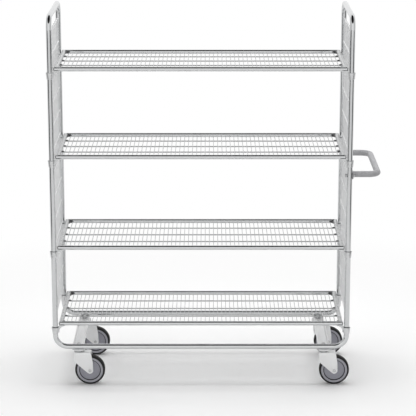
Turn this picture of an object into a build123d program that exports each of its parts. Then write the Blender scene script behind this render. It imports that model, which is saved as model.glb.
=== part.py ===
from build123d import *
import math
import os

# A mesh shelf trolley of bright zinc-plated steel tube and wire.
# Two inverted-U end frames stand on two bent base tubes, which lie on two folded
# channel beams with a swivel caster under each end. Four wire shelves hang by their
# hooks in flared cups on the posts and lift straight out. A push handle is bolted
# to the posts at the +X end.
# Millimetres, +Z up, the floor at Z = 0. X runs along the trolley, Y across it.
# Round stock is drawn with flat facets: tubes, bores and wheels measure their diameter
# across flats, shanks across corners.

# Frame of tubes
post_pitch_x = 1200.0
post_pitch_y = 450.0
tube_d = 22.0
tube_wall = 1.5
tube_sides = 16
bend_radius = 50.0
bend_cuts = 4
base_upstand = 21.0
spigot_length = 60.0
spigot_fit = 0.05

# Channel beams
beam_width = 44.0
beam_sheet = 4.0
beam_flange = 18.0
beam_inset = 92.0
flange_gap = 1.5

# Shelves: the first sits this far above the tube joint, then one bay after another
first_shelf_rise = 25.0
bay_1_pitch = 324.0
bay_2_pitch = 379.0
bay_3_pitch = 358.0
head_room = 208.0
rail_d = 18.0
rail_wall = 1.2
rail_sides = 12
rail_inset = 13.0
rail_end_gap = 3.0
side_rail_inset = 23.0
cross_wire_d = 3.0
cross_wire_pitch = 17.3
long_wire_d = 5.0
long_wire_pitch = 106.0
long_wire_count = 3

# Hooks of the shelves and the slotted cups that they drop into
hook_width = 28.0
hook_sheet = 3.0
hook_corner = 5.0
hook_gap = 0.5
tongue_tip = 5.0
corner_cuts = 3
seat_gap = 0.3
cup_drop = 12.5
cup_height = 26.0
cup_floor = 3.0
cup_flare = 3.0
cup_wall = 1.5
cup_sides = 12

# Welded wire mesh in both end frames
mesh_wire_d = 4.0
mesh_row_pitch = 98.0
mesh_column_pitch = 50.0
mesh_top_gap = 65.0
mesh_tail = 15.0

# Push handle
handle_tube_d = 25.0
handle_tube_wall = 1.5
handle_bend_radius = 40.0
handle_reach = 118.0
handle_arm_inset = 27.0
handle_z = 900.0
plate_sheet = 4.0
plate_width = 48.0
plate_height = 30.0
plate_corner = 6.0
plate_setback = 3.0
handle_bolt_d = 8.0
handle_bolt_head_af = 13.0
handle_bolt_head_height = 5.3
handle_nut_height = 6.8
handle_bolt_end = 1.0
hole_fit = 0.2

# Casters
wheel_d = 125.0
wheel_width = 32.0
wheel_sides = 32
tyre_thickness = 8.5
tyre_shoulder = 3.0
rim_width = 7.5
rim_setback = 1.0
web_setback = 5.0
web_taper = 3.0
hub_d = 28.0
hub_gap = 0.3
axle_d = 8.0
axle_head_af = 12.0
axle_head_height = 3.0
caster_trail = 46.0
fork_sheet = 3.0
fork_inner_width = 38.0
fork_headroom = 12.9
fork_front = 18.0
fork_front_low = 37.5
fork_back_top = 5.0
fork_back = 12.5
fork_back_low = 32.5
fork_tip_radius = 13.5
swivel_inset = 39.0
head_d = 54.0
head_height = 14.0
head_taper = 4.0
ring_d = 42.0
ring_height = 5.0
head_sides = 16
king_bolt_d = 12.0
king_head_af = 18.0
king_head_height = 7.0
king_nut_height = 10.0
king_bolt_end = 3.0
running_gap = 0.1
pin_fit = 0.05
pin_sides = 12
hex_sides = 6

# One overrun serves all cuts
cut = 1.0

# Heights and places that follow from the sizes above
post_x = post_pitch_x / 2
post_y = post_pitch_y / 2
tube_r = tube_d / 2
fork_crown_low = wheel_d + fork_headroom
fork_crown_top = fork_crown_low + fork_sheet
ring_low = fork_crown_top + running_gap
head_low = ring_low + ring_height
beam_low = head_low + head_height
beam_top = beam_low + beam_sheet
base_z = beam_top + tube_r
joint_z = base_z + bend_radius + base_upstand
shelf_1_z = joint_z + first_shelf_rise
shelf_2_z = shelf_1_z + bay_1_pitch
shelf_3_z = shelf_2_z + bay_2_pitch
shelf_4_z = shelf_3_z + bay_3_pitch
shelf_levels = (shelf_1_z, shelf_2_z, shelf_3_z, shelf_4_z)
top_rail_z = shelf_4_z + head_room
rail_y = post_y - rail_inset
rail_end_x = post_x - tube_r - rail_end_gap
side_rail_x = post_x - side_rail_inset
mesh_half_x = side_rail_x - rail_d / 2
mesh_half_y = rail_y - rail_d / 2
hook_y = -rail_y - rail_d / 2 - hook_sheet / 2
post_corner_r = tube_r / math.cos(math.pi / tube_sides)
cup_mouth_r = post_corner_r + cup_flare
swivel_x = post_x - beam_inset
swivel_y = post_y - swivel_inset
axle_z = wheel_d / 2
arm_y = post_y - handle_arm_inset
bar_x = post_x + handle_reach
# The origin is under the middle of the whole trolley, handle and cups included
origin_x = (bar_x + handle_tube_d / 2 - post_x - cup_mouth_r - cup_wall) / 2


# Sections and turned forms

def flats(radius, sides):
    return RegularPolygon(radius, sides, major_radius=False, rotation=180 / sides)


def frustum(low_radius, high_radius, low_z, high_z, sides):
    # Drawn from its wide end, so that the tapered sides stay flat
    height = high_z - low_z
    taper = math.degrees(math.atan2(abs(low_radius - high_radius), height))
    solid = extrude(flats(max(low_radius, high_radius), sides), height, taper=taper)
    if low_radius > high_radius:
        return Pos(0, 0, low_z) * solid
    return Pos(0, 0, high_z) * Rot(180, 0, 0) * solid


def prism(radius, low_z, high_z, sides):
    return extrude(Pos(0, 0, low_z) * flats(radius, sides), high_z - low_z)


def pin(radius, low_z, high_z):
    # A shank has its corners on the true circle, so that it turns freely in its bore
    section = RegularPolygon(radius, pin_sides, rotation=180 / pin_sides)
    return extrude(Pos(0, 0, low_z) * section, high_z - low_z)


def mitred_path(corners, radius):
    # Each bend is a few straight cuts that touch its true arc
    smooth = FilletPolyline(*corners, radius=radius)
    points = [smooth @ 0]
    for arc in smooth.edges().filter_by(GeomType.CIRCLE).sort_by_distance(smooth @ 0):
        step = arc.length / radius / bend_cuts
        for number in range(bend_cuts):
            spoke = arc @ ((number + 1 / 2) / bend_cuts) - arc.arc_center
            points.append(arc.arc_center + spoke / math.cos(step / 2))
    points.append(smooth @ 1)
    return Polyline(*points)


def bent_tube(corners, radius, diameter, wall, side_dir):
    path = mitred_path(corners, radius)
    plane = Plane(origin=path @ 0, x_dir=side_dir, z_dir=path % 0)
    section = flats(diameter / 2, tube_sides) - flats(diameter / 2 - wall, tube_sides)
    return sweep(plane * section, path=path, transition=Transition.RIGHT)


def straight_tube(plane, length, diameter, wall, sides):
    section = flats(diameter / 2, sides) - flats(diameter / 2 - wall, sides)
    return extrude(plane * section, length / 2, both=True)


def at_posts(shape):
    return [Pos(x, y, 0) * shape for x in (-post_x, post_x) for y in (-post_y, post_y)]


def at_casters(shape):
    return [Pos(x, y, 0) * shape for x in (-swivel_x, swivel_x) for y in (-swivel_y, swivel_y)]


def save(name, *shapes):
    moved = [Pos(-origin_x, 0, 0) * shape for shape in shapes]
    export_step(Compound(children=moved), f"parts/{name}.step")


# Frame

def base_tube(y):
    corners = [(-post_x, y, joint_z), (-post_x, y, base_z),
               (post_x, y, base_z), (post_x, y, joint_z)]
    return bent_tube(corners, bend_radius, tube_d, tube_wall, (0, 1, 0))


def end_frame(x):
    corners = [(x, -post_y, joint_z), (x, -post_y, top_rail_z),
               (x, post_y, top_rail_z), (x, post_y, joint_z)]
    return bent_tube(corners, bend_radius, tube_d, tube_wall, (1, 0, 0))


def spigot():
    radius = tube_r - tube_wall - spigot_fit
    return prism(radius, joint_z - spigot_length / 2, joint_z + spigot_length / 2, tube_sides)


def beam():
    # The web lies under both base tubes, the flanges stand between them
    web = Pos(0, 0, beam_low + beam_sheet / 2) * Box(beam_width, post_pitch_y + tube_d, beam_sheet)
    flange_length = post_pitch_y - tube_d - 2 * flange_gap
    flange = Box(beam_sheet, flange_length, beam_flange)
    channel = web
    for side in (-1, 1):
        x = side * (beam_width - beam_sheet) / 2
        channel += Pos(x, 0, beam_top + beam_flange / 2) * flange
    hole = prism(king_bolt_d / 2 + hole_fit, beam_low - cut, beam_top + cut, pin_sides)
    for y in (-swivel_y, swivel_y):
        channel -= Pos(0, y, 0) * hole
    return channel


def cup(level):
    # A flared collar for the post at +X, -Y. Its slot takes the tongue of a shelf hook,
    # which stands on the floor of the collar.
    high = level - cup_drop
    low = high - cup_height
    outside = frustum(post_corner_r + cup_wall, cup_mouth_r + cup_wall, low, high, cup_sides)
    cone = frustum(post_corner_r, cup_mouth_r, low + cup_floor, high, cup_sides)
    bore = prism(post_corner_r, low - cut, low + cup_floor + cut, cup_sides)
    slot_depth = cup_height - cup_floor + cut
    slot = Box(cup_mouth_r + cup_wall + cut, hook_sheet + 2 * seat_gap, slot_depth,
               align=(Align.MAX, Align.CENTER, Align.MAX))
    return outside - cone - bore - Pos(0, hook_y + post_y, high + cut) * slot


def cups(level):
    front = Pos(post_x, -post_y, 0) * cup(level)
    right = [front, mirror(front, Plane.XZ)]
    return right + [mirror(shape, Plane.YZ) for shape in right]


def mesh_row_reach(z):
    # A row level with a cup stops short of it, any other row runs to the posts
    for level in shelf_levels:
        high = level - cup_drop + mesh_wire_d / 2 + seat_gap
        low = level - cup_drop - cup_height - mesh_wire_d / 2 - seat_gap
        if low < z < high:
            return post_y - cup_mouth_r - cup_wall - seat_gap
    return post_y - tube_r


def side_mesh(side):
    top = top_rail_z - mesh_top_gap
    rows = int((top - joint_z) / mesh_row_pitch) + 1
    wires = []
    for number in range(rows):
        z = top - number * mesh_row_pitch
        row = Box(mesh_wire_d, 2 * mesh_row_reach(z), mesh_wire_d)
        wires.append(Pos(side * post_x, 0, z) * row)
    high = top + mesh_wire_d / 2
    low = top - (rows - 1) * mesh_row_pitch - mesh_tail
    room = post_y - cup_mouth_r - cup_wall - mesh_wire_d / 2
    columns = 2 * int(room / mesh_column_pitch) + 1
    column = Box(mesh_wire_d, mesh_wire_d, high - low)
    for number in range(columns):
        y = (number - (columns - 1) / 2) * mesh_column_pitch
        wires.append(Pos(side * (post_x + mesh_wire_d), y, (high + low) / 2) * column)
    return wires


# Shelves

def shelf_rails(level):
    long_rail = straight_tube(Plane.YZ, 2 * rail_end_x, rail_d, rail_wall, rail_sides)
    side_rail = straight_tube(Plane.XZ, 2 * mesh_half_y, rail_d, rail_wall, rail_sides)
    rails = [Pos(0, y, level) * long_rail for y in (-rail_y, rail_y)]
    return rails + [Pos(x, 0, level) * side_rail for x in (-side_rail_x, side_rail_x)]


def shelf_mesh(level):
    # The cross wires lie on the long wires, level with the middle of the rails
    wires = []
    seat = level - cross_wire_d / 2
    long_wire = Box(2 * mesh_half_x, long_wire_d, long_wire_d)
    for number in range(long_wire_count):
        y = (number - (long_wire_count - 1) / 2) * long_wire_pitch
        wires.append(Pos(0, y, seat - long_wire_d / 2) * long_wire)
    section = make_face(Polyline(
        (-cross_wire_d / 2, 0), (cross_wire_d / 2, 0), (0, cross_wire_d), close=True))
    cross_wire = extrude(Plane.XZ * section, mesh_half_y, both=True)
    count = int(2 * mesh_half_x / cross_wire_pitch)
    for number in range(count):
        x = (number - (count - 1) / 2) * cross_wire_pitch
        wires.append(Pos(x, 0, seat) * cross_wire)
    return wires


def cut_corner(corner, radius, start):
    # The quarter turn round a corner, from one heading to the next, in a few straight cuts
    points = []
    for number in range(corner_cuts + 1):
        angle = math.radians(start + number * 90 / corner_cuts)
        points.append((corner[0] + radius * math.cos(angle), corner[1] + radius * math.sin(angle)))
    return points


def hook():
    # Drawn inward from the post at the +X, -Y corner, with Z from the rail's centre.
    # The plate lies on the outer face of the rail, and its tongue hangs into the cup.
    half = rail_d / 2
    setback = rail_end_gap - hook_gap
    low = -cup_drop - cup_height + cup_floor
    sweep_r = hook_width - tongue_tip
    outline = [(-hook_width, half)]
    outline += reversed(cut_corner((-setback - hook_corner, half - hook_corner), hook_corner, 0))
    outline += [(-setback, -half), (0, -cup_drop), (0, low), (-tongue_tip, low)]
    outline += cut_corner((-hook_width, -half - sweep_r), sweep_r, 0)
    solid = extrude(Plane.XZ * make_face(Polyline(*outline, close=True)), hook_sheet / 2, both=True)
    return Pos(post_x - tube_r - hook_gap, hook_y, 0) * solid


def shelf_hooks(level):
    right = [hook(), mirror(hook(), Plane.XZ)]
    left = [mirror(shape, Plane.YZ) for shape in right]
    return [Pos(0, 0, level) * shape for shape in right + left]


# Push handle

def handle_tube():
    start = post_x + tube_r + plate_sheet
    corners = [(start, -arm_y, handle_z), (bar_x, -arm_y, handle_z),
               (bar_x, arm_y, handle_z), (start, arm_y, handle_z)]
    return bent_tube(corners, handle_bend_radius, handle_tube_d, handle_tube_wall, (0, 0, 1))


def along_x(shape, start, y):
    return Pos(start, y, handle_z) * Rot(0, 90, 0) * shape


def handle_hole(start, end):
    # Cuts along X on the centre line of a post
    drill = prism(handle_bolt_d / 2 + hole_fit, start, end, pin_sides)
    return [along_x(drill, 0, y) for y in (-post_y, post_y)]


def handle_plates():
    low = post_x + tube_r
    middle = post_y + tube_r - plate_setback - plate_width / 2
    face = Rectangle(plate_height, plate_width)
    plate = extrude(chamfer(face.vertices(), plate_corner), plate_sheet)
    plates = [along_x(plate, low, y) for y in (-middle, middle)]
    holes = handle_hole(low - cut, low + plate_sheet + cut)
    return [shape - hole for shape, hole in zip(plates, holes)]


def handle_bolts():
    seat = post_x + tube_r + plate_sheet
    end = post_x - tube_r - handle_nut_height - handle_bolt_end
    head = extrude(Pos(0, 0, seat) * flats(handle_bolt_head_af / 2, hex_sides), handle_bolt_head_height)
    shank = pin(handle_bolt_d / 2, end, seat)
    return [along_x(head + shank, 0, y) for y in (-post_y, post_y)]


def hex_nut(af, bore, low, high):
    return extrude(Pos(0, 0, low) * (flats(af / 2, hex_sides) - flats(bore / 2, pin_sides)), high - low)


def handle_nuts():
    seat = post_x - tube_r
    nut = hex_nut(handle_bolt_head_af, handle_bolt_d, seat - handle_nut_height, seat)
    return [along_x(nut, 0, y) for y in (-post_y, post_y)]


# Casters, drawn on the swivel axis and trailing toward +X

def swivel_head():
    bore_r = king_bolt_d / 2 + pin_fit
    bowl = frustum((head_d - head_taper) / 2, head_d / 2, head_low, beam_low, head_sides)
    return bowl - prism(bore_r, head_low - cut, beam_low + cut, pin_sides)


def swivel_ring():
    bore_r = king_bolt_d / 2 + pin_fit
    ring = prism(ring_d / 2, ring_low, head_low, head_sides)
    return ring - prism(bore_r, ring_low - cut, head_low + cut, pin_sides)


def king_bolt():
    high = fork_crown_low - running_gap
    head = extrude(Pos(0, 0, high - king_head_height) * flats(king_head_af / 2, hex_sides), king_head_height)
    return head + pin(king_bolt_d / 2, high, beam_top + king_nut_height + king_bolt_end)


def king_nut():
    return hex_nut(king_head_af, king_bolt_d, beam_top, beam_top + king_nut_height)


def fork():
    # One bent sheet: the side outline runs through, and the inside is cut away
    outer = fork_inner_width + 2 * fork_sheet
    tip = Pos(caster_trail, axle_z) * flats(fork_tip_radius, pin_sides)
    front = Line((-fork_front, fork_crown_top), (-fork_front, axle_z + fork_front_low))
    back_x = caster_trail + fork_back
    back = Line((caster_trail + fork_back_top, fork_crown_top), (back_x, axle_z + fork_back_low))
    outline = make_hull([*tip.edges(), front, back])
    solid = extrude(Plane.XZ * outline, outer / 2, both=True)
    length = fork_front + caster_trail + fork_back + fork_tip_radius
    inside = Box(2 * length, fork_inner_width, fork_crown_low)
    solid -= Pos(0, 0, fork_crown_low / 2) * inside
    solid -= prism(king_bolt_d / 2 + pin_fit, fork_crown_low - cut, fork_crown_top + cut, pin_sides)
    return solid - on_axle(prism(axle_d / 2 + pin_fit, -outer, outer, pin_sides))


def on_axle(shape):
    return Pos(caster_trail, 0, axle_z) * Rot(90, 0, 0) * shape


def axle():
    # Bolt and lock nut are drawn as one pin with a hexagon at each end
    half = fork_inner_width / 2 + fork_sheet
    bolt = pin(axle_d / 2, -half, half)
    for low in (-half - axle_head_height, half):
        bolt += extrude(Pos(0, 0, low) * flats(axle_head_af / 2, hex_sides), axle_head_height)
    return on_axle(bolt)


def tyre():
    half = wheel_width / 2
    outer_r = wheel_d / 2
    side_r = outer_r - tyre_shoulder
    tread = prism(outer_r, tyre_shoulder - half, half - tyre_shoulder, wheel_sides)
    tread += frustum(outer_r, side_r, half - tyre_shoulder, half, wheel_sides)
    tread += frustum(side_r, outer_r, -half, tyre_shoulder - half, wheel_sides)
    inner_r = outer_r - tyre_thickness
    return on_axle(tread - prism(inner_r, -half - cut, half + cut, wheel_sides))


def wheel():
    # Rim, dished web and hub are one moulding on the axle
    rim_half = wheel_width / 2 - rim_setback
    web_half = rim_half - web_setback
    rim_r = wheel_d / 2 - tyre_thickness
    dish_r = rim_r - rim_width
    hub_half = fork_inner_width / 2 - hub_gap
    body = prism(rim_r, -rim_half, rim_half, wheel_sides)
    body -= frustum(dish_r - web_taper, dish_r, web_half, rim_half, wheel_sides)
    body -= frustum(dish_r, dish_r - web_taper, -rim_half, -web_half, wheel_sides)
    body += prism(hub_d / 2, -hub_half, hub_half, pin_sides)
    return on_axle(body - prism(axle_d / 2 + pin_fit, -hub_half - cut, hub_half + cut, pin_sides))


def build_frame():
    save("base_tube_front", base_tube(-post_y))
    save("base_tube_back", base_tube(post_y))
    save("base_beam_left", Pos(-swivel_x, 0, 0) * beam())
    save("base_beam_right", Pos(swivel_x, 0, 0) * beam())
    save("post_spigots", *at_posts(spigot()))
    drilled = end_frame(post_x)
    for hole in handle_hole(post_x - tube_d, post_x + tube_d):
        drilled -= hole
    save("end_frame_left", end_frame(-post_x))
    save("end_frame_right", drilled)
    save("side_mesh_left", *side_mesh(-1))
    save("side_mesh_right", *side_mesh(1))


def build_shelves():
    for number, level in enumerate(shelf_levels, start=1):
        save(f"shelf_{number}_rails", *shelf_rails(level))
        save(f"shelf_{number}_mesh", *shelf_mesh(level))
        save(f"shelf_{number}_hooks", *shelf_hooks(level))
        save(f"shelf_{number}_cups", *cups(level))


def build_handle():
    save("push_handle_tube", handle_tube())
    save("push_handle_plates", *handle_plates())
    save("push_handle_bolts", *handle_bolts())
    save("push_handle_nuts", *handle_nuts())


def build_casters():
    save("swivel_heads", *at_casters(swivel_head()))
    save("swivel_rings", *at_casters(swivel_ring()))
    save("king_bolts", *at_casters(king_bolt()))
    save("king_nuts", *at_casters(king_nut()))
    for row, y in (("front", -swivel_y), ("back", swivel_y)):
        for side, x in (("left", -swivel_x), ("right", swivel_x)):
            place = Pos(x, y, 0)
            save(f"caster_{row}_{side}_fork", place * fork())
            save(f"caster_{row}_{side}_axle", place * axle())
            save(f"caster_{row}_{side}_wheel", place * wheel())
            save(f"caster_{row}_{side}_tyre", place * tyre())


os.makedirs("parts", exist_ok=True)
build_frame()
build_shelves()
build_handle()
build_casters()
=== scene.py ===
import math

import bmesh
import bpy
from mathutils import Matrix, Vector


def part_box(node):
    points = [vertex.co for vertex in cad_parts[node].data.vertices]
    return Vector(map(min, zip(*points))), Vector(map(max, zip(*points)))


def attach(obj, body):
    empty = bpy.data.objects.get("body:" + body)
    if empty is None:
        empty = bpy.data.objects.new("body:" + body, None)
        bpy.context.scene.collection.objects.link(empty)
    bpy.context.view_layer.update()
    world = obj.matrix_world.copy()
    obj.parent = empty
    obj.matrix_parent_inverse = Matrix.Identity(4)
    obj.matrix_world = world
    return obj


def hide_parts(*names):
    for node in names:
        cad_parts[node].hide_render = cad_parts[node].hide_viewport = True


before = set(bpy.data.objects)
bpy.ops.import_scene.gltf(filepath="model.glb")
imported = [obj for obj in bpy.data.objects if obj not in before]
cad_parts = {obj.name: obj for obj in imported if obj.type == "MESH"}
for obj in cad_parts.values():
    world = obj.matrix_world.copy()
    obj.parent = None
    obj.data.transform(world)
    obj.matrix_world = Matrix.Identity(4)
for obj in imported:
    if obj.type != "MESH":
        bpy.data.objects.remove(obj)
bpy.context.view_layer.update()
print("frame loaded:", len(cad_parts), "nodes")


def centreOf(node):
    low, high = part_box(node)
    return [(first + second) / 2 for first, second in zip(low, high)]


# where the main pieces stand, read from the nodes, in metres
tubeRadius = 0.011
frontRow, backRow = "front", "back"
leftSide, rightSide = "left", "right"
sides = (leftSide, rightSide)
rows = (frontRow, backRow)
shelfNumbers = (1, 2, 3, 4)
outward = {leftSide: -1, rightSide: 1}
toBack = {frontRow: -1, backRow: 1}
frameLow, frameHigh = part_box("end_frame_left")
postX = {side: centreOf("end_frame_" + side)[0] for side in sides}
postY = {frontRow: frameLow.y + tubeRadius, backRow: frameHigh.y - tubeRadius}
jointZ = frameLow.z
topZ = frameHigh.z - tubeRadius
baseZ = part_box("base_tube_front")[0].z + tubeRadius
middleX = (postX[leftSide] + postX[rightSide]) / 2

# points this close are one point, heights this close are level, and flatter edges look smooth
mergeWithin = 0.000005
nodeMergeWithin = 0.00002
levelWithin = 0.0001
smoothBelow = 40


# small tools for the modelling

def shift(x, y, z):
    return Matrix.Translation((x, y, z))


def turn(degrees, axis):
    return Matrix.Rotation(math.radians(degrees), 4, axis)


def stretch(x, y, z):
    return Matrix.Diagonal((x, y, z, 1))


def lyingX(x, y, z):
    # lays a bar that stands along Z from side to side
    return shift(x, y, z) @ turn(90, "Y")


def lyingY(x, y, z):
    # lays it from front to back
    return shift(x, y, z) @ turn(90, "X")


def spaced(count, pitch):
    # this many places round nought, a pitch apart
    return [(number - (count - 1) / 2) * pitch for number in range(count)]


def mirrored(upper):
    # an outline of radius and height, closed by its own image below
    return upper + [(radius, -height) for radius, height in reversed(upper)]


def allLevel(edge, height):
    return all(abs(vert.co.z - height) < levelWithin for vert in edge.verts)


def takeVerts(geometry):
    return [item for item in geometry if isinstance(item, bmesh.types.BMVert)]


def takeEdges(geometry):
    return [item for item in geometry if isinstance(item, bmesh.types.BMEdge)]


def copyInto(bm, part, places):
    # adds the part once at each place, then lets it go
    source = bpy.data.meshes.new("part")
    part.to_mesh(source)
    part.free()
    for place in places:
        placed = source.copy()
        placed.transform(place)
        bm.from_mesh(placed)
        bpy.data.meshes.remove(placed)
    bpy.data.meshes.remove(source)
    return bm


def roundOff(bm, geometry, width, segments=2, affect="EDGES", clamp=False):
    bmesh.ops.bevel(bm, geom=geometry, offset=width, segments=segments, profile=0.5,
                    affect=affect, clamp_overlap=clamp, material=-1)


def softenEdges(bm, width, segments=2, above=30, only=None):
    sharp = [edge for edge in bm.edges if edge.is_manifold
             and edge.calc_face_angle() > math.radians(above)
             and (only is None or only(edge))]
    roundOff(bm, sharp, width, segments, clamp=True)
    return bm


def softenEnds(bm, width, segments=2):
    # only the ends of a bar or tube have more than four corners
    rims = [edge for face in bm.faces if len(face.verts) > 4 for edge in face.edges]
    roundOff(bm, rims, width, segments)


def bentTube(corners, radius, bend, segments, bendSteps, endSoft=0.0):
    # a ring is run from corner to corner and spun round each bend
    bm = bmesh.new()
    points = [Vector(corner) for corner in corners]
    heading = (points[1] - points[0]).normalized()
    facing = heading.to_track_quat("Z", "Y").to_matrix().to_4x4()
    place = points[0]
    bmesh.ops.create_circle(bm, segments=segments, radius=radius,
                            matrix=Matrix.Translation(place) @ facing)
    ring = list(bm.edges)
    for number in range(1, len(points)):
        corner = points[number]
        last = number == len(points) - 1
        setback = 0.0
        if not last:
            onward = (points[number + 1] - corner).normalized()
            angle = heading.angle(onward)
            setback = bend * math.tan(angle / 2)
        goal = corner - heading * setback
        made = bmesh.ops.extrude_edge_only(bm, edges=ring)["geom"]
        fresh = takeVerts(made)
        bmesh.ops.translate(bm, verts=fresh, vec=goal - place)
        ring = [edge for edge in takeEdges(made) if all(vert in fresh for vert in edge.verts)]
        if last:
            break
        aside = (onward - heading * heading.dot(onward)).normalized()
        made = bmesh.ops.spin(bm, geom=ring + fresh, cent=goal + aside * bend,
                              axis=heading.cross(onward).normalized(), angle=angle,
                              steps=bendSteps, use_duplicate=False)
        ring = takeEdges(made["geom_last"])
        place = corner + onward * setback
        heading = onward
    bmesh.ops.holes_fill(bm, edges=[edge for edge in bm.edges if len(edge.link_faces) == 1])
    if endSoft:
        softenEnds(bm, endSoft)
    return bm


def roundBar(radius, length, segments, endSoft, softSteps=1):
    # a bar along Z round its own middle, its ends rounded
    bm = bmesh.new()
    bmesh.ops.create_cone(bm, cap_ends=True, segments=segments, radius1=radius,
                          radius2=radius, depth=length)
    softenEnds(bm, endSoft, softSteps)
    return bm


def outlineRing(outline, soften, softFrom=0):
    # the outline's closed line, softened at its corners from one of them on
    bm = bmesh.new()
    corners = [bm.verts.new((x, 0, z)) for x, z in outline]
    bm.faces.new(corners)
    roundOff(bm, corners[softFrom:], soften, affect="VERTICES")
    bmesh.ops.delete(bm, geom=list(bm.faces), context="FACES_ONLY")
    return bm


def turned(outline, soften, steps):
    # the outline, as radius and height, is spun about Z
    bm = outlineRing(outline, soften)
    bmesh.ops.spin(bm, geom=list(bm.edges) + list(bm.verts), cent=(0, 0, 0), axis=(0, 0, 1),
                   angle=math.tau, steps=steps, use_merge=True, use_duplicate=False)
    bmesh.ops.remove_doubles(bm, verts=bm.verts, dist=mergeWithin)
    return bm


def nodeCopy(node, flatAngle=4):
    # a node's own mesh, merged and with its flat faces whole again
    bm = bmesh.new()
    bm.from_mesh(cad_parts[node].data)
    bmesh.ops.remove_doubles(bm, verts=bm.verts, dist=nodeMergeWithin)
    bmesh.ops.dissolve_limit(bm, angle_limit=math.radians(flatAngle), verts=bm.verts,
                             edges=bm.edges)
    return bm


def finishPiece(bm, name, body, material, nodes=()):
    bmesh.ops.remove_doubles(bm, verts=bm.verts, dist=mergeWithin)
    bmesh.ops.recalc_face_normals(bm, faces=bm.faces)
    mesh = bpy.data.meshes.new(name)
    bm.to_mesh(mesh)
    bm.free()
    mesh.shade_smooth()
    mesh.set_sharp_from_angle(angle=math.radians(smoothBelow))
    mesh.materials.append(material)
    piece = bpy.data.objects.new(name, mesh)
    bpy.context.scene.collection.objects.link(piece)
    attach(piece, body)
    if nodes:
        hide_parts(*nodes)
    return piece


# small tools for the node trees

def feed(tree, socket, value):
    # links a socket, and sets a number or a colour
    if isinstance(value, bpy.types.NodeSocket):
        tree.links.new(value, socket)
    elif isinstance(value, (tuple, list)):
        socket.default_value = (*value, 1.0)
    else:
        socket.default_value = value


def addNode(tree, kind, **settings):
    node = tree.nodes.new(kind)
    for label, value in settings.items():
        setattr(node, label, value)
    return node


def addMath(tree, operation, first, second=0.0, clamp=False):
    node = addNode(tree, "ShaderNodeMath", operation=operation, use_clamp=clamp)
    feed(tree, node.inputs[0], first)
    feed(tree, node.inputs[1], second)
    return node.outputs[0]


def times(tree, first, second, clamp=False):
    return addMath(tree, "MULTIPLY", first, second, clamp)


def addNoise(tree, vector, scale, detail, roughness=0.5):
    node = addNode(tree, "ShaderNodeTexNoise")
    for label, value in (("Vector", vector), ("Scale", scale), ("Detail", detail),
                         ("Roughness", roughness)):
        feed(tree, node.inputs[label], value)
    return node.outputs["Fac"]


def addRange(tree, value, low, high, toLow, toHigh):
    node = addNode(tree, "ShaderNodeMapRange", interpolation_type="SMOOTHSTEP")
    for label, number in (("Value", value), ("From Min", low), ("From Max", high),
                          ("To Min", toLow), ("To Max", toHigh)):
        feed(tree, node.inputs[label], number)
    return node.outputs["Result"]


def addParts(tree, vector):
    node = addNode(tree, "ShaderNodeSeparateXYZ")
    feed(tree, node.inputs[0], vector)
    return node.outputs


def addCoordinate(tree, kind="Object"):
    return addNode(tree, "ShaderNodeTexCoord").outputs[kind]


def addBump(tree, shader, height, strength, distance):
    bump = addNode(tree, "ShaderNodeBump")
    for label, value in (("Strength", strength), ("Distance", distance), ("Height", height)):
        feed(tree, bump.inputs[label], value)
    feed(tree, shader.inputs["Normal"], bump.outputs["Normal"])


def mixColour(tree, mask, first, second):
    # a colour mix takes its two colours in inputs 6 and 7 and gives its result in output 2
    node = addNode(tree, "ShaderNodeMix", data_type="RGBA")
    feed(tree, node.inputs["Factor"], mask)
    feed(tree, node.inputs[6], first)
    feed(tree, node.inputs[7], second)
    return node.outputs[2]


def mixShader(tree, mask, first, second):
    node = addNode(tree, "ShaderNodeMixShader")
    for number, value in enumerate((mask, first.outputs[0], second.outputs[0])):
        feed(tree, node.inputs[number], value)
    return node.outputs[0]


def newGroup(name, inputs, outputs):
    group = bpy.data.node_groups.new(name, "ShaderNodeTree")
    for labels, way in ((inputs, "INPUT"), (outputs, "OUTPUT")):
        for label in labels:
            group.interface.new_socket(name=label, in_out=way, socket_type="NodeSocketFloat")
    return group, group.nodes.new("NodeGroupInput"), group.nodes.new("NodeGroupOutput")


def useGroup(tree, group, **values):
    node = addNode(tree, "ShaderNodeGroup", node_tree=group)
    for label, value in values.items():
        node.inputs[label.capitalize()].default_value = value
    return node.outputs


# shared effects, each a node group; a layer of noise is scale, detail and roughness

bloomLook = {"broad": (1.0, 3.0, 0.55), "mottle": (9.0, 2.0, 0.6), "fine": (60.0, 2.0, 0.5),
             "broadShare": 0.7, "mottleShare": 0.3, "middle": 0.5}
wearLook = {"edge": (0.515, 0.60), "gaps": (0.38, 0.66), "gapDetail": (3.0, 0.6)}
dustLook = {"facing": (0.1, 0.95), "facingLeast": 0.15, "highUp": 0.25,
            "grain": (90.0, 4.0, 0.65), "grains": (0.4, 0.7)}


def makeBloomGroup():
    # the cloudy bloom of a zinc coat: broad patches with a fine mottle in them
    group, start, end = newGroup("zincBloom", ("Scale", "Contrast"), ("Cloud", "Fine"))
    place = addCoordinate(group)

    def layer(finer, detail, roughness):
        scale = times(group, start.outputs["Scale"], finer)
        return addNoise(group, place, scale, detail, roughness)

    both = addMath(group, "ADD", times(group, layer(*bloomLook["broad"]), bloomLook["broadShare"]),
                   times(group, layer(*bloomLook["mottle"]), bloomLook["mottleShare"]))
    spread = times(group, addMath(group, "SUBTRACT", both, bloomLook["middle"]),
                   start.outputs["Contrast"])
    cloud = addMath(group, "ADD", spread, bloomLook["middle"], clamp=True)
    feed(group, end.inputs["Cloud"], cloud)
    feed(group, end.inputs["Fine"], layer(*bloomLook["fine"]))
    return group


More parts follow.
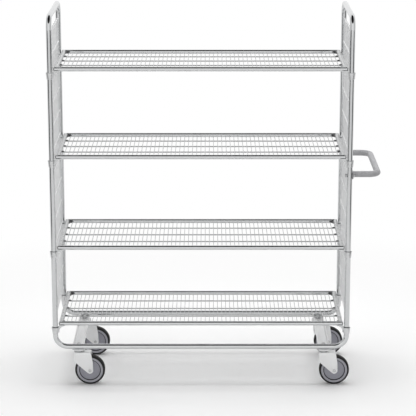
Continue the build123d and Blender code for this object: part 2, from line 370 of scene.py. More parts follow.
def makeWearGroup():
    # rubbed edges: where the surface turns sharply, broken up by a noise
    group, start, end = newGroup("edgeRub", ("Amount", "Breakup"), ("Rub",))
    point = addNode(group, "ShaderNodeNewGeometry").outputs["Pointiness"]
    edge = addRange(group, point, *wearLook["edge"], 0.0, 1.0)
    noise = addNoise(group, addCoordinate(group), start.outputs["Breakup"], *wearLook["gapDetail"])
    broken = addRange(group, noise, *wearLook["gaps"], 0.0, 1.0)
    rub = times(group, times(group, edge, broken), start.outputs["Amount"], clamp=True)
    feed(group, end.inputs["Rub"], rub)
    return group


def makeDustGroup():
    # a little dust on what faces up, more of it near the floor
    group, start, end = newGroup("floorDust", ("Amount", "Reach"), ("Dust",))
    place = addCoordinate(group)
    upward = addParts(group, addNode(group, "ShaderNodeNewGeometry").outputs["Normal"])["Z"]
    height = addParts(group, place)["Z"]
    facing = addRange(group, upward, *dustLook["facing"], dustLook["facingLeast"], 1.0)
    low = addRange(group, height, 0.0, start.outputs["Reach"], 1.0, dustLook["highUp"])
    grains = addRange(group, addNoise(group, place, *dustLook["grain"]), *dustLook["grains"], 0.0, 1.0)
    dust = times(group, times(group, facing, low), grains)
    feed(group, end.inputs["Dust"], times(group, dust, start.outputs["Amount"], clamp=True))
    return group


bloomGroup = makeBloomGroup()
wearGroup = makeWearGroup()
dustGroup = makeDustGroup()
print("node groups made")


def makeCoat(name, look):
    # what all finishes share: a cloudy coat, its edges rubbed bare, and dust on it
    material = bpy.data.materials.new(name)
    material.use_nodes = True
    tree = material.node_tree
    shader = tree.nodes["Principled BSDF"]
    bloom = useGroup(tree, bloomGroup, scale=look["bloomScale"], contrast=look["bloomContrast"])
    wear = useGroup(tree, wearGroup, amount=look["rub"], breakup=look["breakup"])
    dust = useGroup(tree, dustGroup, amount=look["dust"], reach=look["dustReach"])
    coat = mixColour(tree, bloom["Cloud"], look["deep"], look["pale"])
    rubbed = mixColour(tree, wear["Rub"], coat, look["bare"])
    feed(tree, shader.inputs["Base Color"], mixColour(tree, dust["Dust"], rubbed, look["dustColour"]))
    return material, tree, shader, bloom, dust["Dust"]


zincShared = {"breakup": 160.0, "dustReach": 0.35, "clouds": (0.25, 0.75), "dustDulls": 0.35,
              "dustHides": 0.6, "grainDepth": 0.00008}
zincLooks = {
    "zincTube": {"deep": (0.68, 0.69, 0.70), "pale": (0.80, 0.81, 0.815), "bare": (0.86, 0.87, 0.88),
                 "dustColour": (0.55, 0.53, 0.50), "bloomScale": 24.0, "bloomContrast": 0.9,
                 "smooth": 0.07, "rough": 0.13, "metal": 0.99, "rub": 0.4, "dust": 0.03, "grain": 0.02},
    "zincSheet": {"deep": (0.70, 0.71, 0.715), "pale": (0.80, 0.805, 0.81), "bare": (0.88, 0.885, 0.89),
                  "dustColour": (0.55, 0.53, 0.50), "bloomScale": 34.0, "bloomContrast": 0.6,
                  "smooth": 0.24, "rough": 0.34, "metal": 0.80, "rub": 0.4, "dust": 0.06, "grain": 0.03},
    # painted light: a paler copy of the sheet zinc for the beams and the caster forks
    "paintedLightZinc": {"deep": (0.93, 0.935, 0.94), "pale": (0.97, 0.972, 0.975), "bare": (0.97, 0.972, 0.975),
                 "dustColour": (0.55, 0.53, 0.50), "bloomScale": 34.0, "bloomContrast": 0.6,
                 "smooth": 0.28, "rough": 0.38, "metal": 0.55, "rub": 0.4, "dust": 0.05, "grain": 0.03},
    # painted light: a pale, mostly matt copy of the zinc for the end-frame wires
    "paintedLightWire": {"deep": (0.84, 0.845, 0.85), "pale": (0.92, 0.925, 0.93), "bare": (0.92, 0.925, 0.93),
                 "dustColour": (0.55, 0.53, 0.50), "bloomScale": 60.0, "bloomContrast": 0.9,
                 "smooth": 0.40, "rough": 0.52, "metal": 0.25, "rub": 0.3, "dust": 0.03, "grain": 0.05},
    # painted shade: a darker copy of the zinc for the shelf mesh wires
    "paintedShadeWire": {"deep": (0.43, 0.44, 0.445), "pale": (0.54, 0.545, 0.55), "bare": (0.70, 0.70, 0.70),
                  "dustColour": (0.50, 0.48, 0.45), "bloomScale": 60.0, "bloomContrast": 0.9,
                  "smooth": 0.28, "rough": 0.40, "metal": 0.55, "rub": 0.3, "dust": 0.06, "grain": 0.05},
    # painted shade: a darker, blotchy copy of the zinc for the side rails
    "sideShadeZinc": {"deep": (0.42, 0.43, 0.435), "pale": (0.74, 0.745, 0.75), "bare": (0.80, 0.80, 0.80),
                 "dustColour": (0.50, 0.48, 0.45), "bloomScale": 110.0, "bloomContrast": 2.2,
                 "smooth": 0.26, "rough": 0.42, "metal": 0.60, "rub": 0.3, "dust": 0.08, "grain": 0.05},
    # painted shade: a near-black zinc for the dark beads at the welds and the dark ends of the long
    # rails
    "shadeBlackZinc": {"deep": (0.025, 0.026, 0.028), "pale": (0.11, 0.11, 0.115), "bare": (0.30, 0.30, 0.30),
                 "dustColour": (0.20, 0.19, 0.18), "bloomScale": 160.0, "bloomContrast": 1.6,
                 "smooth": 0.35, "rough": 0.60, "metal": 0.30, "rub": 0.1, "dust": 0.05, "grain": 0.4},
    "boltSteel": {"deep": (0.50, 0.51, 0.52), "pale": (0.66, 0.665, 0.67), "bare": (0.82, 0.82, 0.82),
                  "dustColour": (0.50, 0.48, 0.45), "bloomScale": 120.0, "bloomContrast": 1.6,
                  "smooth": 0.22, "rough": 0.40, "metal": 0.95, "rub": 0.6, "dust": 0.2, "grain": 0.3},
}


def makeZinc(name):
    # bright zinc plating over steel
    look = {**zincShared, **zincLooks[name]}
    material, tree, shader, bloom, dust = makeCoat(name, look)
    gloss = addRange(tree, bloom["Cloud"], *look["clouds"], look["smooth"], look["rough"])
    dulled = addMath(tree, "ADD", gloss, times(tree, dust, look["dustDulls"]), clamp=True)
    feed(tree, shader.inputs["Roughness"], dulled)
    metal = addMath(tree, "SUBTRACT", look["metal"], times(tree, dust, look["dustHides"]), clamp=True)
    feed(tree, shader.inputs["Metallic"], metal)
    addBump(tree, shader, bloom["Fine"], look["grain"], look["grainDepth"])
    return material


zincTube = makeZinc("zincTube")
zincSheet = makeZinc("zincSheet")
paintedLightZinc = makeZinc("paintedLightZinc")
paintedLightWire = makeZinc("paintedLightWire")
paintedShadeWire = makeZinc("paintedShadeWire")
sideShadeZinc = makeZinc("sideShadeZinc")
shadeBlackZinc = makeZinc("shadeBlackZinc")
boltSteel = makeZinc("boltSteel")

# satin grey powder coat: orange peel, paler where its edges are rubbed
handleLook = {"deep": (0.37, 0.37, 0.385), "pale": (0.44, 0.44, 0.45), "bare": (0.62, 0.62, 0.63),
              "dustColour": (0.42, 0.40, 0.38), "bloomScale": 14.0, "bloomContrast": 1.2,
              "rub": 0.25, "breakup": 220.0, "dust": 0.1, "dustReach": 0.3,
              "roughBy": "Cloud", "rough": (0.2, 0.8, 0.46, 0.34), "shine": 0.5,
              "peel": (900.0, 2.0), "grain": 0.25, "grainDepth": 0.00012}
# moulded grey nylon with a fine spark-eroded grain, scuffed at its edges
plasticShared = {"dustColour": (0.36, 0.35, 0.33), "bloomScale": 40.0, "bloomContrast": 1.0,
                 "rub": 0.5, "breakup": 240.0, "dust": 0.35, "dustReach": 0.25,
                 "roughBy": "Fine", "rough": (0.3, 0.7, 0.42, 0.56), "shine": 0.5,
                 "grain": 0.35, "grainDepth": 0.00008}
plasticLooks = {
    "wheelPlastic": {"deep": (0.305, 0.306, 0.355), "pale": (0.365, 0.366, 0.412),
                     "bare": (0.44, 0.44, 0.46)},
    # painted light: a paler copy of the plastic for the wheel's flat ring
    "rimLightPlastic": {"deep": (0.37, 0.37, 0.413), "pale": (0.43, 0.43, 0.47),
                   "bare": (0.50, 0.50, 0.52)},
    # painted shade: a near-black copy of the plastic for the groove inside the ring
    "grooveShadePlastic": {"deep": (0.045, 0.045, 0.055), "pale": (0.07, 0.07, 0.08),
                      "bare": (0.12, 0.12, 0.13)},
}
# dark soft rubber: matte, greyed by dust, with fine mould marks
tyreLook = {"deep": (0.011, 0.011, 0.012), "pale": (0.020, 0.020, 0.020), "bare": (0.04, 0.04, 0.039),
            "dustColour": (0.10, 0.096, 0.088), "bloomScale": 50.0, "bloomContrast": 1.3,
            "rub": 0.3, "breakup": 200.0, "dust": 0.3, "dustReach": 0.16,
            "roughBy": "Cloud", "rough": (0.2, 0.8, 0.55, 0.72), "shine": 0.3,
            "grain": 0.5, "grainDepth": 0.0001}


def makeMatt(name, look):
    # moulded or powder-coated: the bump is fine grain, or a noise of its own
    material, tree, shader, bloom = makeCoat(name, look)[:4]
    feed(tree, shader.inputs["Roughness"], addRange(tree, bloom[look["roughBy"]], *look["rough"]))
    feed(tree, shader.inputs["Specular IOR Level"], look["shine"])
    height = bloom["Fine"]
    if "peel" in look:
        height = addNoise(tree, addCoordinate(tree), *look["peel"])
    addBump(tree, shader, height, look["grain"], look["grainDepth"])
    return material


handleCoat = makeMatt("handleCoat", handleLook)
wheelPlastic, rimLightPlastic, grooveShadePlastic = (makeMatt(name, {**plasticShared, **look})
                                           for name, look in plasticLooks.items())
tyreRubber = makeMatt("tyreRubber", tyreLook)
print("materials made")


# the frame of bent tube

frameTube = {"bend": 0.050, "segments": 28, "bendSteps": 12, "endSoft": 0.0007}


def makeBaseTube(row):
    y = postY[row]
    corners = [(postX[leftSide], y, jointZ), (postX[leftSide], y, baseZ),
               (postX[rightSide], y, baseZ), (postX[rightSide], y, jointZ)]
    bm = bentTube(corners, tubeRadius, **frameTube)
    finishPiece(bm, "baseTube." + row, "frame", zincTube, ["base_tube_" + row])


def makeEndFrame(side):
    x = postX[side]
    corners = [(x, postY[frontRow], jointZ), (x, postY[frontRow], topZ),
               (x, postY[backRow], topZ), (x, postY[backRow], jointZ)]
    bm = bentTube(corners, tubeRadius, **frameTube)
    finishPiece(bm, "endFrame." + side, "frame", zincTube, ["end_frame_" + side])


for row in rows:
    makeBaseTube(row)
for side in sides:
    makeEndFrame(side)
print("tube frame made")


# the two folded beams over the casters

beam = {"fold": 0.0033, "foldSteps": 4, "foldLength": 0.1, "edgeSoft": 0.0006, "edgeAngle": 40}


def makeBeam(side):
    node = "base_beam_" + side
    bm = nodeCopy(node)
    low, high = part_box(node)

    def isFold(edge):
        along = abs(edge.verts[0].co.y - edge.verts[1].co.y) > beam["foldLength"]
        return along and allLevel(edge, low.z)

    softenEdges(bm, beam["fold"], segments=beam["foldSteps"], only=isFold)
    softenEdges(bm, beam["edgeSoft"], above=beam["edgeAngle"])
    # the beam takes the paler zinc, painted light
    finishPiece(bm, "baseBeam." + side, "frame", paintedLightZinc, [node])


for side in sides:
    makeBeam(side)
print("beams made")


# the welded wire mesh in the end frames

endMesh = {"radius": 0.002, "segments": 10, "endSoft": 0.0008, "rowPitch": 0.098,
           "columnPitch": 0.050, "columnCount": 9, "columnOffset": 1.9, "sink": 0.003,
           "cupRoom": 0.003, "cupGap": 0.0003}
cupBoxes = [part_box(f"shelf_{number}_cups") for number in shelfNumbers]


def rowReach(z):
    # a wire sinks into the posts, but one that is level with a cup ends short of it
    for low, high in cupBoxes:
        if low.z - endMesh["cupRoom"] < z < high.z + endMesh["cupRoom"]:
            return 2 * postY[backRow] - high.y - endMesh["cupGap"]
    return postY[backRow] - tubeRadius + endMesh["sink"]


def makeEndMesh(side):
    node = "side_mesh_" + side
    low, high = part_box(node)
    radius = endMesh["radius"]
    form = (endMesh["segments"], endMesh["endSoft"])
    top = high.z - radius
    bm = bmesh.new()
    for number in range(int((top - low.z) / endMesh["rowPitch"]) + 1):
        z = top - number * endMesh["rowPitch"]
        copyInto(bm, roundBar(radius, 2 * rowReach(z), *form), [lyingY(postX[side], 0, z)])
    columnX = postX[side] + outward[side] * radius * endMesh["columnOffset"]
    copyInto(bm, roundBar(radius, high.z - low.z, *form),
             [shift(columnX, y, (high.z + low.z) / 2)
              for y in spaced(endMesh["columnCount"], endMesh["columnPitch"])])
    # the end-frame wires take the pale copy of the zinc, painted light
    finishPiece(bm, "endMesh." + side, "frame", paintedLightWire, [node])


for side in sides:
    makeEndMesh(side)
print("end mesh made")


# the shelves: rails, wires, hooks, dark beads of painted shade at the welds, and the cups they drop into

shelf = {"railRadius": 0.009, "railSegments": 24, "railRound": 0.006, "roundSteps": 5,
         "capFrom": 0.5, "sideSoft": 0.001, "sink": 0.001, "bite": 0.0003,
         "crossRadius": 0.0015, "crossPitch": 0.0173, "crossSegments": 6, "crossSoft": 0.0004,
         "longRadius": 0.0025, "longPitch": 0.106, "longCount": 3, "longSegments": 10,
         "longSoft": 0.0005}
hook = {"width": 0.028, "setback": 0.0025, "lap": 0.004, "gap": 0.0005, "sheet": 0.003,
        "drop": 0.0125, "tip": 0.005, "sweepSteps": 12, "sweepSlack": 0.0002,
        "rolled": 0.0013, "rolledSteps": 4, "soft": 0.0004, "softAngle": 60}
# sizes and places of the dark beads of painted shade
shadeBeads = {"wireEnd": (0.0085, 0.0040, 0.0026), "wireIn": 0.0025, "wireDown": 0.0005,
        "acrossCorner": (0.012, 0.007, 0.006), "alongCorner": (0.006, 0.020, 0.0045),
        "seam": (0.011, 0.0026, 0.0022), "seamOut": 0.006, "seamDown": 0.0078}
cup = {"floor": 0.003, "flare": 0.003, "wall": 0.0015, "soft": 0.0004, "overlap": 0.0003,
       "slotFrom": 3.0, "slotTo": 19.5, "steps": 44}


def railMiddles(number):
    # how far the middles of the rails lie from the shelf's middle, and their height
    low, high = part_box(f"shelf_{number}_rails")
    radius = shelf["railRadius"]
    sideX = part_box(f"shelf_{number}_mesh")[1].x + radius - middleX
    return sideX, high.y - radius, (low.z + high.z) / 2


def makeRails(number):
    # the side rails take a darker, blotchy copy of the zinc and the ends of the long rails are
    # near-black, both painted shade
    node = f"shelf_{number}_rails"
    low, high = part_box(node)
    radius = shelf["railRadius"]
    sideX, railY, level = railMiddles(number)
    bm = bmesh.new()
    long = roundBar(radius, high.x - low.x, shelf["railSegments"], shelf["railRound"],
                    shelf["roundSteps"])
    copyInto(bm, long, [lyingX(middleX, y, level) for y in (-railY, railY)])
    longFaces = len(bm.faces)
    side = roundBar(radius, 2 * railY - radius, shelf["railSegments"], shelf["sideSoft"])
    copyInto(bm, side, [lyingY(middleX + x, 0, level) for x in (-sideX, sideX)])
    for place, face in enumerate(bm.faces):
        if place >= longFaces:
            face.material_index = 1
        # the ends of the long rails are painted near-black as shade
        elif abs(face.normal.x) > shelf["capFrom"]:
            face.material_index = 2
    piece = finishPiece(bm, f"shelfRails.{number}", f"shelf_{number}", zincTube, [node])
    piece.data.materials.append(sideShadeZinc)
    piece.data.materials.append(shadeBlackZinc)


def makeShelfMesh(number):
    node = f"shelf_{number}_mesh"
    low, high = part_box(node)
    crossZ = high.z - shelf["crossRadius"]
    longZ = crossZ - shelf["crossRadius"] - shelf["longRadius"] + shelf["bite"]
    width = high.x - low.x
    bm = bmesh.new()
    long = roundBar(shelf["longRadius"], width + 2 * shelf["sink"], shelf["longSegments"],
                    shelf["longSoft"])
    copyInto(bm, long, [lyingX(middleX, y, longZ)
                        for y in spaced(shelf["longCount"], shelf["longPitch"])])
    cross = roundBar(shelf["crossRadius"], high.y - low.y + 2 * shelf["sink"],
                     shelf["crossSegments"], shelf["crossSoft"])
    copyInto(bm, cross, [lyingY(middleX + x, 0, crossZ)
                         for x in spaced(int(width / shelf["crossPitch"]), shelf["crossPitch"])])
    # the shelf wires take the darker copy of the zinc, painted shade
    finishPiece(bm, f"shelfMesh.{number}", f"shelf_{number}", paintedShadeWire, [node])


def hookPlate(low, high):
    # drawn inward from the post; it laps the rail's lower edge and sweeps down to the tongue
    middle = high - shelf["railRadius"]
    under = middle - shelf["railRadius"]
    top = under + hook["lap"]
    bm = bmesh.new()
    outline = [(-hook["width"], top), (-hook["setback"], top), (-hook["setback"], under),
               (0, middle - hook["drop"]), (0, low), (-hook["tip"], low),
               (-hook["tip"], under), (-hook["width"], under)]
    corners = [bm.verts.new((x, -hook["sheet"] / 2, z)) for x, z in outline]
    sweep = corners[6]
    bm.faces.new(corners)
    roundOff(bm, [sweep], hook["width"] - hook["tip"] - hook["sweepSlack"],
             segments=hook["sweepSteps"], affect="VERTICES")
    made = bmesh.ops.extrude_face_region(bm, geom=list(bm.faces))["geom"]
    bmesh.ops.translate(bm, verts=takeVerts(made), vec=(0, hook["sheet"], 0))
    bmesh.ops.recalc_face_normals(bm, faces=bm.faces)

    def isTop(edge):
        along = abs(edge.verts[0].co.x - edge.verts[1].co.x) > hook["setback"]
        return along and allLevel(edge, top)

    softenEdges(bm, hook["rolled"], segments=hook["rolledSteps"], only=isTop)
    return softenEdges(bm, hook["soft"], above=hook["softAngle"])


def makeHooks(number):
    node = f"shelf_{number}_hooks"
    low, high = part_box(node)
    y = high.y - hook["sheet"] / 2
    inward = shift(-tubeRadius - hook["gap"], 0, 0)
    places = [shift(postX[side], toBack[row] * y, 0) @ stretch(outward[side], 1, 1) @ inward
              for side in sides for row in rows]
    bm = copyInto(bmesh.new(), hookPlate(low.z, high.z), places)
    finishPiece(bm, f"shelfHooks.{number}", f"shelf_{number}", zincSheet, [node])


def makeShadeBeads(number):
    # dark beads of painted shade where wires, rails and hooks are welded, mirrored to left and right,
    # and to front and back unless they lie on the middle line
    sideX, railY, level = railMiddles(number)
    innerX, innerY = sideX - shelf["railRadius"], railY - shelf["railRadius"]
    hookX = postX[rightSide] - tubeRadius - hook["width"] / 2 - middleX
    across, along = shadeBeads["acrossCorner"], shadeBeads["alongCorner"]
    bead = bmesh.new()
    bmesh.ops.create_icosphere(bead, subdivisions=2, radius=1.0)
    spots = [(shadeBeads["wireEnd"], innerX - shadeBeads["wireIn"], y, -shadeBeads["wireDown"])
             for y in (0, shelf["longPitch"])]
    spots += [(across, innerX - across[0] / 2, innerY, 0), (along, innerX, innerY - along[1] / 2, 0),
              (shadeBeads["seam"], hookX, railY + shadeBeads["seamOut"], -shadeBeads["seamDown"])]
    places = [shift(middleX + way * x, fore * y, level + z) @ stretch(*size)
              for size, x, y, z in spots for way in (-1, 1) for fore in ((-1, 1) if y else (1,))]
    bm = copyInto(bmesh.new(), bead, places)
    finishPiece(bm, f"shelfShadeBeads.{number}", f"shelf_{number}", shadeBlackZinc)


def cupWall(low, high):
    # spun round the post from one side of the slot to the other, with only its mouth softened
    mouth = tubeRadius + cup["flare"]
    share = cup["floor"] / (high - low)
    start = low + cup["floor"] - cup["overlap"]
    outline = [(tubeRadius, start), (tubeRadius + cup["wall"] + cup["flare"] * share, start),
               (mouth + cup["wall"], high), (mouth, high)]
    bm = outlineRing([(-radius, height) for radius, height in outline], cup["soft"], softFrom=2)
    bmesh.ops.rotate(bm, verts=bm.verts, matrix=turn(-cup["slotTo"], "Z"))
    bmesh.ops.spin(bm, geom=list(bm.edges) + list(bm.verts), cent=(0, 0, 0), axis=(0, 0, 1),
                   steps=cup["steps"], use_duplicate=False,
                   angle=-math.radians(360 - cup["slotTo"] + cup["slotFrom"]))
    bmesh.ops.holes_fill(bm, edges=[edge for edge in bm.edges if len(edge.link_faces) == 1])
    return bm


def makeCups(number):
    node = f"shelf_{number}_cups"
    low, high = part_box(node)
    wide = tubeRadius + cup["wall"]
    floorTop = low.z + cup["floor"]
    floor = [(tubeRadius, low.z), (wide, low.z), (wide + cup["overlap"], floorTop),
             (tubeRadius, floorTop)]
    corners = [(side, row) for side in sides for row in rows]
    bm = copyInto(bmesh.new(), turned(floor, cup["soft"], cup["steps"]),
                  [shift(postX[side], postY[row], 0) for side, row in corners])
    copyInto(bm, cupWall(low.z, high.z),
             [shift(postX[side], postY[row], 0) @ stretch(outward[side], -toBack[row], 1)
              for side, row in corners])
    finishPiece(bm, f"shelfCups.{number}", "frame", zincSheet, [node])


for number in shelfNumbers:
    makeRails(number)
    makeShelfMesh(number)
    makeHooks(number)
    makeShadeBeads(number)
    makeCups(number)
print("shelves made")


# the push handle

handle = {"radius": 0.0125, "bend": 0.040, "segments": 32, "bendSteps": 12}
handleFittings = {"plateSoft": 0.0008, "plateAngle": 30, "boltSoft": 0.0005, "boltAngle": 50}


def makeHandle():
    low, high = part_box("push_handle_tube")
    z = (low.z + high.z) / 2
    armY = high.y - handle["radius"]
    barX = high.x - handle["radius"]
    corners = [(low.x, -armY, z), (barX, -armY, z), (barX, armY, z), (low.x, armY, z)]
    bm = bentTube(corners, **handle)
    finishPiece(bm, "handleTube", "frame", handleCoat, ["push_handle_tube"])
    bm = softenEdges(nodeCopy("push_handle_plates"), handleFittings["plateSoft"],
                     above=handleFittings["plateAngle"])
    finishPiece(bm, "handlePlates", "frame", handleCoat, ["push_handle_plates"])
    for name, node in (("handleBolts", "push_handle_bolts"), ("handleNuts", "push_handle_nuts")):
        bm = softenEdges(nodeCopy(node, flatAngle=1), handleFittings["boltSoft"],
                         above=handleFittings["boltAngle"])
        finishPiece(bm, name, "frame", boltSteel, [node])


makeHandle()
print("push handle made")


# the swivels under the beams

swivel = {"boltRadius": 0.00605, "headRadius": 0.027, "headSteps": 32, "headRim": 0.0045,
          "headFoot": 0.0075, "headSlope": 0.0025, "headSoft": 0.0008,
          "ribTilt": 0.2, "ribEdge": 0.0006, "ribHeight": 0.0012,
          "ringRadius": 0.021, "ringSteps": 48, "ringWaist": 0.002, "ringHalf": 0.0006,
          "ringSoft": 0.0004, "nutSoft": 0.0007, "nutAngle": 50}
swivelPlaces = [shift(centreOf("base_beam_" + side)[0], centreOf(f"caster_{row}_{side}_axle")[1], 0)
                for row in rows for side in sides]


def makeHeads():
    # a bowl whose slanted wall is pressed out in a ring of ribs
    low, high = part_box("swivel_heads")
    outer, bore = swivel["headRadius"], swivel["boltRadius"]
    rim = high.z - swivel["headRim"]
    slope, soft = swivel["headSlope"], swivel["headSoft"]
    outline = [(bore, low.z), (outer - swivel["headFoot"], low.z), (outer - slope, low.z + slope),
               (outer, rim), (outer, high.z), (bore, high.z)]
    head = turned(outline, soft, swivel["headSteps"])
    bmesh.ops.recalc_face_normals(head, faces=head.faces)
    wall = [face for face in head.faces if abs(face.normal.z) > swivel["ribTilt"]
            and low.z + slope + soft < face.calc_center_median().z < rim - soft]
    bmesh.ops.inset_individual(head, faces=wall, thickness=swivel["ribEdge"],
                               depth=swivel["ribHeight"])
    bm = copyInto(bmesh.new(), head, swivelPlaces)
    finishPiece(bm, "swivelHeads", "frame", zincSheet, ["swivel_heads"])


def makeRings():
    low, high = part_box("swivel_rings")
    outer, bore = swivel["ringRadius"], swivel["boltRadius"]
    half = swivel["ringHalf"]
    waist = (low.z + high.z) / 2
    outline = [(bore, low.z), (outer, low.z), (outer, waist - half),
               (outer - swivel["ringWaist"], waist), (outer, waist + half), (outer, high.z),
               (bore, high.z)]
    ring = turned(outline, swivel["ringSoft"], swivel["ringSteps"])
    bm = copyInto(bmesh.new(), ring, swivelPlaces)
    finishPiece(bm, "swivelRings", "frame", boltSteel, ["swivel_rings"])


makeHeads()
makeRings()
for name, node in (("kingBolts", "king_bolts"), ("kingNuts", "king_nuts")):
    bm = softenEdges(nodeCopy(node, flatAngle=1), swivel["nutSoft"], above=swivel["nutAngle"])
    finishPiece(bm, name, "frame", boltSteel, [node])
print("swivels made")


# the casters: fork, axle, wheel and tyre

fork = {"fold": 0.004, "foldSteps": 5, "edgeSoft": 0.0006, "edgeAngle": 50,
        "crease": 0.022, "creaseAngle": 4.0, "creaseTop": (0.006, 0.014), "cutWithin": 0.00001}
axle = {"soft": 0.0009, "steps": 3, "angle": 50}
wheel = {"radius": 0.0625, "halfWidth": 0.016, "tyreHeight": 0.0085, "steps": 64, "soft": 0.0002,
         "setback": 0.001, "rimWidth": 0.0092, "rimDraft": 0.0003, "grooveWidth": 0.0032,
         "grooveDepth": 0.0050, "grooveDraft": 0.0002, "webDepth": 0.003, "webRise": 0.0005,
         "stepRadius": 0.034, "stepMouth": 0.0010, "stepFloor": 0.0004, "stepDepth": 0.0010,
         "hubRadius": 0.014, "hubHalf": 0.0187, "hubSlope": (0.002, 0.003), "bore": 0.00405,
         "paintEdge": 0.0004}
tyre = {"soft": 0.0012, "flank": 0.0042, "shoulder": 0.0010, "shoulderIn": 0.0032, "treadIn": 0.0075}


def makeFork(row, side):
    # its rear part is bent inward along an upright crease that fades out at the top
    node = f"caster_{row}_{side}_fork"
    low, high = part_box(node)
    bm = nodeCopy(node, flatAngle=1)
    middleY = (low.y + high.y) / 2
    halfY = high.y - middleY
    creaseX = centreOf(f"caster_{row}_{side}_axle")[0] - fork["crease"]
    fadeFrom, fadeTo = (high.z - drop for drop in fork["creaseTop"])
    for place, way in (((creaseX, 0, 0), (1, 0, 0)), ((0, 0, fadeFrom), (0, 0, 1)),
                       ((0, 0, fadeTo), (0, 0, 1))):
        bmesh.ops.bisect_plane(bm, geom=list(bm.verts) + list(bm.edges) + list(bm.faces),
                               plane_co=place, plane_no=way, dist=fork["cutWithin"])
    for vert in bm.verts:
        ahead = creaseX - vert.co.x
        if ahead > 0 and vert.co.z < fadeFrom:
            bent = min(1.0, (fadeFrom - vert.co.z) / (fadeFrom - fadeTo))
            inward = ahead * math.tan(math.radians(fork["creaseAngle"])) * bent
            vert.co.y -= math.copysign(inward, vert.co.y - middleY)

    def isCrownFold(edge):
        outside = all(abs(abs(vert.co.y - middleY) - halfY) < levelWithin for vert in edge.verts)
        return outside and allLevel(edge, high.z)

    softenEdges(bm, fork["fold"], segments=fork["foldSteps"], only=isCrownFold)
    softenEdges(bm, fork["edgeSoft"], above=fork["edgeAngle"])
    # the fork takes the paler zinc, painted light
    finishPiece(bm, f"fork.{row}.{side}", f"caster_{row}_{side}_swivel_body", paintedLightZinc,
                [node])


def makeAxle(row, side):
    node = f"caster_{row}_{side}_axle"
    bm = softenEdges(nodeCopy(node, flatAngle=1), axle["soft"], segments=axle["steps"],
                     above=axle["angle"])
    finishPiece(bm, f"axle.{row}.{side}", f"caster_{row}_{side}_swivel_body", boltSteel,
                [node])


def tyreOutline():
    outer = wheel["radius"]
    half = wheel["halfWidth"]
    return mirrored([(outer - wheel["tyreHeight"], half), (outer - tyre["flank"], half),
                     (outer - tyre["shoulder"], half - tyre["shoulderIn"]),
                     (outer, half - tyre["treadIn"])])


def wheelOutline():
    # from the bore out: hub, web with a moulded line round it, groove and rim
    rim = wheel["radius"] - wheel["tyreHeight"]
    half = wheel["halfWidth"] - wheel["setback"]
    groove = rim - wheel["rimWidth"]
    inner = groove - wheel["grooveWidth"]
    web = half - wheel["webDepth"]
    raised = web + wheel["webRise"]
    hub, hubHalf = wheel["hubRadius"], wheel["hubHalf"]
    slopeIn, slopeDown = wheel["hubSlope"]
    step, mouth, floor = wheel["stepRadius"], wheel["stepMouth"], wheel["stepFloor"]
    stepBottom = web - wheel["stepDepth"]
    grooveBottom = web - wheel["grooveDepth"]
    return mirrored([(wheel["bore"], hubHalf), (hub - slopeIn, hubHalf), (hub, hubHalf - slopeDown),
                     (hub + wheel["webRise"], raised), (step - mouth, raised),
                     (step - floor, stepBottom), (step + floor, stepBottom), (step + mouth, web),
                     (inner, web), (inner + wheel["grooveDraft"], grooveBottom),
                     (groove, grooveBottom), (groove + wheel["rimDraft"], half), (rim, half)])


def paintWheel(piece, centre):
    # the flat ring round the wheel is painted paler as light, the groove inside it painted dark as shade
    piece.data.materials.append(rimLightPlastic)
    piece.data.materials.append(grooveShadePlastic)
    groove = wheel["radius"] - wheel["tyreHeight"] - wheel["rimWidth"]
    for face in piece.data.polygons:
        away = face.center - centre
        out = math.hypot(away.x, away.z) - groove
        if out > wheel["paintEdge"]:
            face.material_index = 1
        elif out > -wheel["grooveWidth"] - wheel["paintEdge"]:
            face.material_index = 2


def makeRound(name, row, side, outline, soft, material):
    node = f"caster_{row}_{side}_{name}"
    centre = Vector(centreOf(node))
    bm = copyInto(bmesh.new(), turned(outline, soft, wheel["steps"]), [lyingY(*centre)])
    piece = finishPiece(bm, f"{name}.{row}.{side}", f"caster_{row}_{side}_wheel_body", material,
                        [node])
    return piece, centre


for row in rows:
    for side in sides:
        makeFork(row, side)
        makeAxle(row, side)
        paintWheel(*makeRound("wheel", row, side, wheelOutline(), wheel["soft"],
                              wheelPlastic))
        makeRound("tyre", row, side, tyreOutline(), tyre["soft"], tyreRubber)
print("casters made")

# what stays as its node gave it: the spigots inside the posts
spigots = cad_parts["post_spigots"]
spigots.data.materials.clear()
spigots.data.materials.append(zincTube)


# studio: floor, lights, world and camera

studio = {"floorRadius": 16.0, "floorSteps": 96, "floorSeen": 1.04, "whiteFrom": 1.2, "whiteTo": 2.4,
          "floorLit": 0.84, "floorBeyond": 0.10, "glow": 0.76, "glowBeyond": 0.02,
          "paperHalf": 1.5, "paperFade": 0.3, "wedgeFrom": (0.06, 0.16), "wedgeTo": (0.90, 1.20),
          "wedgeNear": 0.1, "surround": 0.92, "sideWall": 0.60, "sideFrom": (0.45, 0.80),
          "ceiling": 0.0, "ceilingWay": (0.0, -0.10, 0.995), "ceilingEdge": (0.735, 0.775)}
keyLight = {"place": (0.0, 0.2, 5.5), "target": (0.0, 0.2, 0.0), "size": (4.0, 3.0), "power": 185.0}
view = {"place": (0.029 + middleX, -7.109, 2.534), "tilt": 14.41, "lens": 151.9, "sensor": 36.0,
        "farthest": 200.0}


def grey(tone):
    return (tone, tone, tone)


def clearTree(owner, output):
    owner.use_nodes = True
    tree = owner.node_tree
    tree.nodes.clear()
    seen = addNode(tree, "ShaderNodeLightPath").outputs["Is Camera Ray"]
    return tree, addNode(tree, output).inputs["Surface"], seen


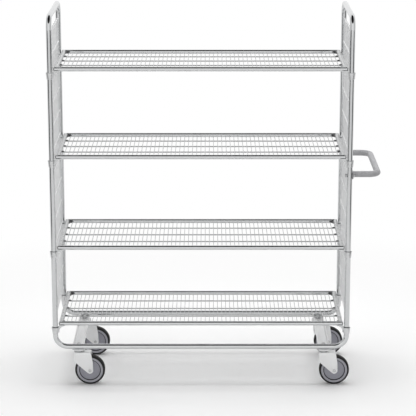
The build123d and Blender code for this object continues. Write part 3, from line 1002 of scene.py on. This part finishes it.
def darkWedges(tree, parts):
    # far out to each side, a darker wedge of floor ahead of the posts
    aside = addMath(tree, "ABSOLUTE", parts["X"])
    edge = studio["paperHalf"]
    beyond = addRange(tree, aside, edge, edge + studio["paperFade"], 0.0, 1.0)
    fromPost = addMath(tree, "MAXIMUM", addMath(tree, "SUBTRACT", aside, postX[rightSide]),
                       studio["wedgeNear"])
    ahead = addMath(tree, "SUBTRACT", postY[frontRow], parts["Y"])
    lead = addMath(tree, "DIVIDE", ahead, fromPost)
    wedge = times(tree, addRange(tree, lead, *studio["wedgeFrom"], 0.0, 1.0),
                  addRange(tree, lead, *studio["wedgeTo"], 1.0, 0.0))
    return times(tree, beyond, wedge)


def makeFloor():
    # white to the camera; to everything else pale paper with a darker wedge ahead at each side
    bm = bmesh.new()
    bmesh.ops.create_circle(bm, cap_ends=True, segments=studio["floorSteps"],
                            radius=studio["floorRadius"])
    mesh = bpy.data.meshes.new("floor")
    bm.to_mesh(mesh)
    bm.free()
    floor = bpy.data.objects.new("floor", mesh)
    bpy.context.scene.collection.objects.link(floor)
    material = bpy.data.materials.new("floorPaper")
    tree, surface, seen = clearTree(material, "ShaderNodeOutputMaterial")
    place = addCoordinate(tree)
    dark = darkWedges(tree, addParts(tree, place))
    lit = mixColour(tree, dark, grey(studio["floorLit"]), grey(studio["floorBeyond"]))
    glow = mixColour(tree, dark, grey(studio["glow"]), grey(studio["glowBeyond"]))
    paper = addNode(tree, "ShaderNodeBsdfDiffuse")
    feed(tree, paper.inputs["Color"], mixColour(tree, seen, lit, grey(studio["floorSeen"])))
    white = addNode(tree, "ShaderNodeEmission")
    feed(tree, white.inputs["Color"], mixColour(tree, seen, glow, grey(1.0)))
    away = addNode(tree, "ShaderNodeVectorMath", operation="LENGTH")
    feed(tree, away.inputs[0], place)
    far = addRange(tree, away.outputs["Value"], studio["whiteFrom"], studio["whiteTo"], 0.0, 1.0)
    feed(tree, surface, mixShader(tree, far, paper, white))
    mesh.materials.append(material)


def makeWorld():
    # soft light from all round, a little less of it from the sides, and a dark ceiling
    world = bpy.data.worlds.new("studio")
    bpy.context.scene.world = world
    tree, surface, seen = clearTree(world, "ShaderNodeOutputWorld")
    way = addCoordinate(tree, "Generated")
    aside = addMath(tree, "ABSOLUTE", addParts(tree, way)["X"])
    wall = addRange(tree, aside, *studio["sideFrom"], studio["surround"], studio["sideWall"])
    upward = addNode(tree, "ShaderNodeVectorMath", operation="DOT_PRODUCT")
    upward.inputs[1].default_value = studio["ceilingWay"]
    feed(tree, upward.inputs[0], way)
    above = addRange(tree, upward.outputs["Value"], *studio["ceilingEdge"], 1.0, studio["ceiling"])
    soft = addNode(tree, "ShaderNodeBackground")
    white = addNode(tree, "ShaderNodeBackground")
    for light, strength in ((soft, times(tree, wall, above)), (white, 1.0)):
        feed(tree, light.inputs["Color"], grey(1.0))
        feed(tree, light.inputs["Strength"], strength)
    feed(tree, surface, mixShader(tree, seen, soft, white))


def makeKeyLight():
    data = bpy.data.lights.new("keyLight", "AREA")
    data.shape = "RECTANGLE"
    data.size, data.size_y = keyLight["size"]
    data.energy = keyLight["power"]
    light = bpy.data.objects.new("keyLight", data)
    bpy.context.scene.collection.objects.link(light)
    light.location = keyLight["place"]
    toTarget = Vector(keyLight["target"]) - Vector(keyLight["place"])
    light.rotation_euler = toTarget.to_track_quat("-Z", "Y").to_euler()
    light.visible_glossy = False


def makeCamera():
    # the lens and place found from the photograph's own lines
    data = bpy.data.cameras.new("camera")
    data.sensor_width = view["sensor"]
    data.lens = view["lens"]
    data.clip_end = view["farthest"]
    camera = bpy.data.objects.new("camera", data)
    bpy.context.scene.collection.objects.link(camera)
    camera.location = view["place"]
    camera.rotation_euler = (math.radians(90.0 - view["tilt"]), 0.0, 0.0)
    bpy.context.scene.camera = camera


makeFloor()
makeWorld()
makeKeyLight()
makeCamera()
bpy.context.scene.view_settings.view_transform = "Standard"
print("studio made")
